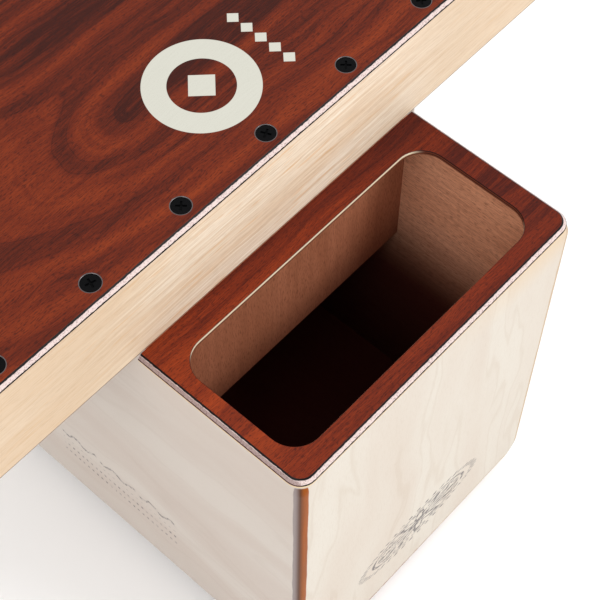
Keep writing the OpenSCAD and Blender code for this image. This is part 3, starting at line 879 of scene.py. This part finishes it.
def boardShape(side):
    # a wall of the resonance box. The sides are higher under the playing box, and higher again between the wing
    # floors. That upper part starts as a slightly smaller outline inside the lower part, so that no two faces lie
    # in one plane.
    top = wing if side == 2 else seat
    levels = np.concatenate([ground + np.array(wallSet["rise"]), seat - np.array(wallSet["below"]), [top]])
    rings = wallRings(side, levels, bodyHalf, bodyFront, back, wallSet["thick"], boxShape)
    if side in (0, 2):
        return ringStack(rings)
    strip = rings[-1].copy()
    strip[:, 1] = np.maximum(strip[:, 1], topFront)
    root = strip.mean(0) + (strip - strip.mean(0)) * 0.97 - (0, 0, 0.3)
    x0, x1 = sorted(bodyHalf * (1 if side == 1 else -1) * share for share in (1, 1 - wallSet["thick"] / bodyHalf))
    block = softBlock([x0, topFront + railSet["thick"], wing - 0.2], [x1, back - railSet["thick"], sideHigh[2]], 0.2, 1)
    return joinShapes([ringStack(rings), ringStack(np.stack([root, strip, strip + (0, 0, wing - seat)])), block])


def railShapeOf(side):
    # a rail of the playing box, from the wings' underside up to the playing panel
    levels = np.concatenate([wing + np.array(railSet["rise"]), [under - 0.5, under]])
    return ringStack(wallRings(side, levels, topHalf, topFront, back, railSet["thick"], railShape))


for side, (name, material, node) in enumerate((
        ("front_board", frontPly, "front_panel"), ("right_board", rightPly, "right_side"),
        ("back_board", backPly, "back_panel"), ("left_board", leftPly, "left_side"))):
    makePiece(name, boardShape(side), "case", [material], node)
for side, end in enumerate(("front", "right", "back", "left")):
    material = railAlongX if side in (0, 2) else railAlongY
    makePiece(end + "_rail_bar", railShapeOf(side), "case", [material], end + "_rail")
print("walls and rails ready")


# screws in the playing face
def crossHeads():
    # countersunk heads on a grid of rings and turns. Each quarter turn has an arm of the cross recess, whose
    # half angle is the arm's half width over the radius; inside it the surface drops to the recess's floor.
    armHalf, arm, head, tall = (screwSet[key] for key in ("armHalf", "arm", "head", "tall"))
    shank, long = screwSet["shank"], screwSet["long"]
    radius = np.array([0.02, 0.4, armHalf * 1.42, 0.95, 1.3, 1.7, 2.1, arm - 0.1, arm, arm + 0.05, 3.2, 3.9, 4.4,
                       head - 0.12, head])
    # shares run from 0 to 1 over the arm, to 3 over the land, and to 4 over the next arm's half
    shares = np.concatenate([np.linspace(0, 1, 4), [1.0], 1 + np.linspace(0.25, 1, 4)])
    shares = np.concatenate([shares, 4 - shares[::-1][1:-1]])
    inArm = np.minimum(shares, 4 - shares)[None, :]
    half = np.arcsin(np.clip(armHalf / radius, 0, 0.7071))[:, None]
    angle = np.where(inArm <= 1, inArm * half, half + (inArm - 1) * (np.pi / 4 - half))
    angle = np.where(shares[None, :] <= 2, angle, np.pi / 2 - angle)
    order = np.arange(len(shares))
    lowSide = (order <= 3) | (order >= len(shares) - 3)
    radiusColumn = radius[:, None]
    inRecess = (radiusColumn <= arm + 0.001) & (lowSide[None, :] | (radiusColumn <= armHalf * 1.42))
    dip = np.where(inRecess, 0.22 * radiusColumn - screwSet["deep"], 0.0)
    edge = np.where(radiusColumn > head - 0.05, -0.1, 0.0)
    quarter = np.stack([angle, dip + edge + screwSet["dome"] * (1 - (radiusColumn / head) ** 2) * (dip == 0)], -1)
    turns = np.concatenate([quarter + np.array([k * np.pi / 2, 0]) for k in range(4)], 1)
    lower = np.array([(head - 2.5, -tall), (shank, -tall - 0.6), (shank, 3 - long), (0.2, -long)])
    size = (len(lower), turns.shape[1])
    below = np.stack([np.broadcast_to(turns[-1, :, 0], size), np.broadcast_to(lower[:, 1:], size)], -1)
    return np.concatenate([radius, lower[:, 0]])[:, None], np.concatenate([turns, below])


def makeSurfaceScrews():
    # each head is turned by its own amount, and lies in a bright worn rim
    radii, turns = crossHeads()
    spin = np.random.default_rng(screwSet["seed"]).uniform(0, np.pi / 2, len(places))
    shapes, kinds = [], []
    for (x, y), turn in zip(places, spin):
        angle = turns[..., 0] + turn
        level = face - screwSet["sink"] + turns[..., 1]
        head = ringStack(np.stack([x + radii * np.cos(angle), y + radii * np.sin(angle), level], -1))
        rim = spun(screwSet["rim"], 48, (x, y, face), closed=True)
        shapes += [head, rim]
        kinds += [0] * len(head[1]) + [1] * len(rim[1])
    makePiece("surface_screw_set", joinShapes(shapes), "case", [blackSteel, rimSteel], "surface_screws",
              30, kinds)


makeSurfaceScrews()
print("screws ready")

# snare unit
snareSet = {"strands": 12, "pitch": 6.0, "coil": 0.5, "wire": 0.2, "turnLength": 1.0, "shaft": 4.0, "collar": 8.0,
            "washer": 10.0, "plateScrewX": 7.0, "plateScrewY": 28.0}
bushSet = {"bore": 4.05, "outer": 6.0, "flange": 9.0, "flangeThick": 1.5}
leverSet = {"hub": 9.0, "tip": 6.5, "arm": 4.5, "inner": 4.0, "outer": 9.0, "squareness": 0.35}


def alongRod(profile, steps=64, closed=False):
    # profile of (radius, Y) pairs turned about the snare rod's axis
    return spun(profile, steps, (rodX, 0, rodZ), "y", closed)


def bushProfile(flangeFace, bodyEnd):
    # closed profile of a flanged bush: flange face, flange rim, then the sleeve
    bore, outer, flange = bushSet["bore"], bushSet["outer"], bushSet["flange"]
    way = 1 if bodyEnd > flangeFace else -1
    flangeBack = flangeFace + bushSet["flangeThick"] * way
    return [(bore, flangeFace), (flange - 0.3, flangeFace), (flange, flangeFace + 0.3 * way),
            (flange, flangeBack - 0.1 * way), (flange - 0.1, flangeBack), (outer, flangeBack),
            (outer, bodyEnd - 0.3 * way), (outer - 0.3, bodyEnd), (bore, bodyEnd)]


def turnedPiece(name, node, body, material, profileOf, closed=True):
    # a piece turned about the rod between its node's two ends
    low, high = nodeBox(node)
    makePiece(name, alongRod(profileOf(low[1], high[1]), closed=closed), body, [material], node)


turnedPiece("snare_shaft", "snare_rod", "snare_unit", bareSteel,
            lambda start, end: roundedDisc(snareSet["shaft"], start, end, 0.5), False)
turnedPiece("shaft_collar", "rod_collar", "snare_unit", bareSteel,
            lambda start, end: roundedDisc(snareSet["collar"], start, end, 0.5, 3.98))
turnedPiece("front_sleeve", "front_bush", "case", nylon, lambda start, end: bushProfile(end, start))
turnedPiece("back_sleeve", "back_bush", "case", nylon, bushProfile)
turnedPiece("slip_washer", "friction_washer", "case", nylon,
            lambda start, end: roundedDisc(snareSet["washer"], start, end, 0.25, 4.3))

for end in ("front", "back"):
    for name, node, material, slot, soft, steps in (
            ("_tilt_block", "_snare_block", beech, "beech_block", 1.2, 4),
            ("_strand_plate", "_snare_plate", brass, "brass_plate", 0.25, 2)):
        shape = softBlock(*nodeBox(end + node), soft, steps)
        makePiece(end + name, shape, "snare_unit", [material], end + node)


def strandShape(node):
    # coiled strands: a small circle carried along a helix round each strand's straight, rising line
    low, high = nodeBox(node)
    coil, wire, turnLength = snareSet["coil"], snareSet["wire"], snareSet["turnLength"]
    start = np.array([high[0] - coil - wire, 0, low[2] + coil + wire])
    way = np.array([low[0] + coil + wire, 0, high[2] - coil - wire]) - start
    length = np.linalg.norm(way)
    way = way / length
    sideways = np.array([0, 1.0, 0])
    turns = int(length / turnLength)
    t = np.linspace(0, 1, turns * 8 + 1)[:, None]
    swing = t * turns * 2 * np.pi
    outward = np.cos(swing) * sideways + np.sin(swing) * np.cross(way, sideways)
    spine = start + t * length * way + coil * outward
    tangent = np.cross(outward, way) * -coil * 2 * np.pi / turnLength + way
    tangent = tangent / np.linalg.norm(tangent, axis=1, keepdims=True)
    around = np.linspace(0, 2 * np.pi, 4, endpoint=False)[None, :, None]
    crosswise = np.cross(tangent, outward)[:, None, :]
    ring = spine[:, None, :] + wire * (np.cos(around) * outward[:, None, :] + np.sin(around) * crosswise)
    offsets = (np.arange(snareSet["strands"]) - (snareSet["strands"] - 1) / 2) * snareSet["pitch"]
    return joinShapes([ringStack(ring + np.array([0, y, 0])) for y in (low[1] + high[1]) / 2 + offsets])


for end in ("front", "back"):
    node = end + "_snare_wires"
    makePiece(end + "_strands", strandShape(node), "snare_unit", [coilSteel], node, 60)


def panHead(radius, tall, soft=0.5, slot=1.4):
    # profile of a domed screw head from its rim to the middle, where a driver's recess stands in
    t = np.linspace(0, np.pi / 2, 6)
    dome = np.column_stack([radius - soft + soft * np.cos(t), tall - soft + soft * np.sin(t)])[1:]
    return np.concatenate([[[0.02, 0.0], [radius - 0.15, 0.0], [radius, 0.15]], dome,
                           [[slot, tall], [slot * 0.8, tall - 0.5], [0.02, tall - 0.6]]])


def plateScrewShape():
    # two screws through each strand plate: a domed head and a shank
    shapes = []
    for end in ("front", "back"):
        low, high = nodeBox(end + "_snare_plate")
        for sign in (-1, 1):
            y = (low[1] + high[1]) / 2 + sign * snareSet["plateScrewY"]
            centre = (rodX + snareSet["plateScrewX"], y, high[2])
            shapes.append(spun(panHead(3.0, 2.0), 32, centre))
            shapes.append(spun([(0.02, -10.0), (1.5, -9.5), (1.5, 0.1), (0.02, 0.1)], 16, centre))
    return joinShapes(shapes)


def leverShape():
    # cross-sections carried along X: a rounded box whose half width follows the hub, the arm and the tip in turn,
    # and whose front and back faces stand out at the hub and the tip
    low, high = nodeBox("snare_lever")
    hub, tip, arm, squareness = (leverSet[key] for key in ("hub", "tip", "arm", "squareness"))
    tipX = low[0] + tip
    x = low[0] + 0.01 + (1 - np.cos(np.linspace(0, np.pi, 73))) / 2 * (high[0] - low[0] - 0.02)
    hubWide = np.sqrt(np.clip(hub ** 2 - (x - rodX) ** 2, 0, None))
    tipWide = np.sqrt(np.clip(tip ** 2 - (x - tipX) ** 2, 0, None))
    armWide = np.where((x > tipX) & (x < rodX), arm, 0.0)
    wide = np.clip((hubWide ** 6 + tipWide ** 6 + armWide ** 6) ** (1 / 6), 0.05, hub)[:, None]
    nearHub, nearTip = smoothStep((x - (rodX - hub - 3)) / 5), smoothStep((tipX + tip + 3 - x) / 5)
    inner, outer = back + leverSet["inner"], back + leverSet["outer"]
    inner = (inner + (low[1] - inner) * nearHub - nearTip)[:, None]
    outer = (outer + (high[1] - outer) * nearHub + nearTip)[:, None]
    turn = np.linspace(0, 2 * np.pi, 32, endpoint=False)
    across, depth = (np.sign(wave) * np.abs(wave) ** squareness for wave in (np.cos(turn), np.sin(turn)))
    return ringStack(np.stack([np.broadcast_to(x[:, None], (len(x), len(turn))),
                               (inner + outer) / 2 + (outer - inner) / 2 * depth, rodZ + wide * across], -1))


def leverScrewShape():
    # a domed head outside the lever's hub and a shank that runs into the rod
    low, high = nodeBox("lever_screw")
    start, end = low[1], high[1] - 1.9
    head = panHead(4.0, 2.0, 0.6, 1.5) + np.array([0, high[1] - 2.0])
    return joinShapes([alongRod(head, 40), alongRod([(0.02, start), (1.5, start + 0.3), (1.5, end), (0.02, end)], 16)])


makePiece("plate_screw_set", plateScrewShape(), "snare_unit", [bareSteel], "snare_screws")
makePiece("throw_off_lever", leverShape(), "snare_unit", [leverPaint], "snare_lever", 50)
makePiece("lever_cap_screw", leverScrewShape(), "snare_unit", [bareSteel], "lever_screw")
print("snare unit ready")

# feet
footSet = {"tip": 9.0, "soft": 0.7, "root": 11.0, "waist": [(9.9, 2.6), (9.75, 3.0), (10.05, 3.3)], "recess": 5.0,
           "recessTall": 3.2, "bore": 1.8, "inset": 24.0}


def footProfile():
    # closed profile of a rubber foot: recess for the screw's head, rounded tread, waist and root
    tip, soft, root, bore = footSet["tip"], footSet["soft"], footSet["root"], footSet["bore"]
    recess, tall = footSet["recess"], footSet["recessTall"]
    t = np.linspace(0, np.pi / 2, 5)
    tread = np.column_stack([tip - soft + soft * np.sin(t), soft - soft * np.cos(t)])
    return np.concatenate([[(bore, tall), (recess, tall), (recess, 0.3), (recess + 0.3, 0.0)], tread, footSet["waist"],
                           [(root - 0.1, ground - 0.25), (root - 0.35, ground), (bore, ground)]])


footPlaces = [(x, y, 0) for x in (footSet["inset"] - bodyHalf, bodyHalf - footSet["inset"])
              for y in (bodyFront + footSet["inset"], back - footSet["inset"])]
footHead = panHead(4.0, 2.4, 0.6, 1.6) * np.array([1, -1]) + np.array([0, footSet["recessTall"]])
footShank = [(0.02, 3.1), (1.7, 3.1), (1.7, 10.5), (0.02, 11.2)]
makePiece("foot_set", joinShapes([spun(footProfile(), 64, place, closed=True) for place in footPlaces]), "case",
          [rubber], "rubber_feet")
makePiece("foot_screw_set", joinShapes([spun(footHead, 40, place) for place in footPlaces]
                                       + [spun(footShank, 16, place) for place in footPlaces]),
          "case", [bareSteel], "foot_screws")
print("feet ready")

# boards whose CAD shape is kept
for node, material in (("bottom_panel", floorPly), ("left_wing_floor", floorPly), ("right_wing_floor", floorPly),
                       ("chimney_wall", chimneyPly)):
    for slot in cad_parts[node].material_slots:
        slot.material = material

# floor, lights and camera
studio = {"floor": 6.0, "worldLight": 0.94, "aim": (0, -0.05, 0.2), "pale": (0.96, 0.96, 0.96, 1),
          "dusty": (0.94, 0.94, 0.94, 1)}
cameraSet = {"place": (-0.33718, -0.38613, 0.89272), "forward": (0.40487, 0.35744, -0.84162), "roll": 0.792,
             "lens": 97.28, "sensor": 36.0}


def makeFloor():
    # one square with faint, very large clouds
    far = studio["floor"]
    mesh = bpy.data.meshes.new("floor")
    mesh.from_pydata([(-far, -far, 0), (far, -far, 0), (far, far, 0), (-far, far, 0)], [], [[0, 1, 2, 3]])
    floor = bpy.data.objects.new("floor", mesh)
    bpy.context.scene.collection.objects.link(floor)
    material, shader, place = newMaterial("paleFloor")
    setFinish(shader, layered(studio["pale"], (cloud(place, (400, 400, 400)), studio["dusty"])), 0.7)
    mesh.materials.append(material)


def areaLight(name, place, size, power):
    # a round lamp that faces the object
    data = bpy.data.lights.new(name, "AREA")
    data.shape, data.size, data.energy = "DISK", size, power
    lamp = bpy.data.objects.new(name, data)
    lamp.location = place
    lamp.rotation_mode = "QUATERNION"
    lamp.rotation_quaternion = (Vector(studio["aim"]) - Vector(place)).to_track_quat("-Z", "Y")
    bpy.context.scene.collection.objects.link(lamp)


def makeCamera():
    # looks along forward; roll turns the level right-hand direction about it
    data = bpy.data.cameras.new("camera")
    data.lens, data.sensor_width = cameraSet["lens"], cameraSet["sensor"]
    data.clip_start, data.clip_end = 0.01, 50.0
    camera = bpy.data.objects.new("camera", data)
    forward = Vector(cameraSet["forward"]).normalized()
    levelRight = forward.cross(Vector((0, 0, 1))).normalized()
    roll = math.radians(cameraSet["roll"])
    right = levelRight * math.cos(roll) + levelRight.cross(forward) * math.sin(roll)
    turn = Matrix((right, right.cross(forward), -forward)).transposed().to_4x4()
    camera.matrix_world = Matrix.Translation(cameraSet["place"]) @ turn
    bpy.context.scene.collection.objects.link(camera)
    bpy.context.scene.camera = camera


makeFloor()
world = bpy.data.worlds.new("studio")
bpy.context.scene.world = world
world.use_nodes = True
world.node_tree.nodes["Background"].inputs["Color"].default_value = (1.0, 1.0, 1.0, 1)
world.node_tree.nodes["Background"].inputs["Strength"].default_value = studio["worldLight"]
areaLight("keyLight", (0.9, -1.5, 1.9), 1.1, 30.0)
areaLight("fillLight", (-1.6, -0.4, 1.4), 1.3, 11.0)
makeCamera()
bpy.context.scene.view_settings.view_transform = "Standard"
bpy.context.scene.view_settings.look = "None"
print("stage ready")
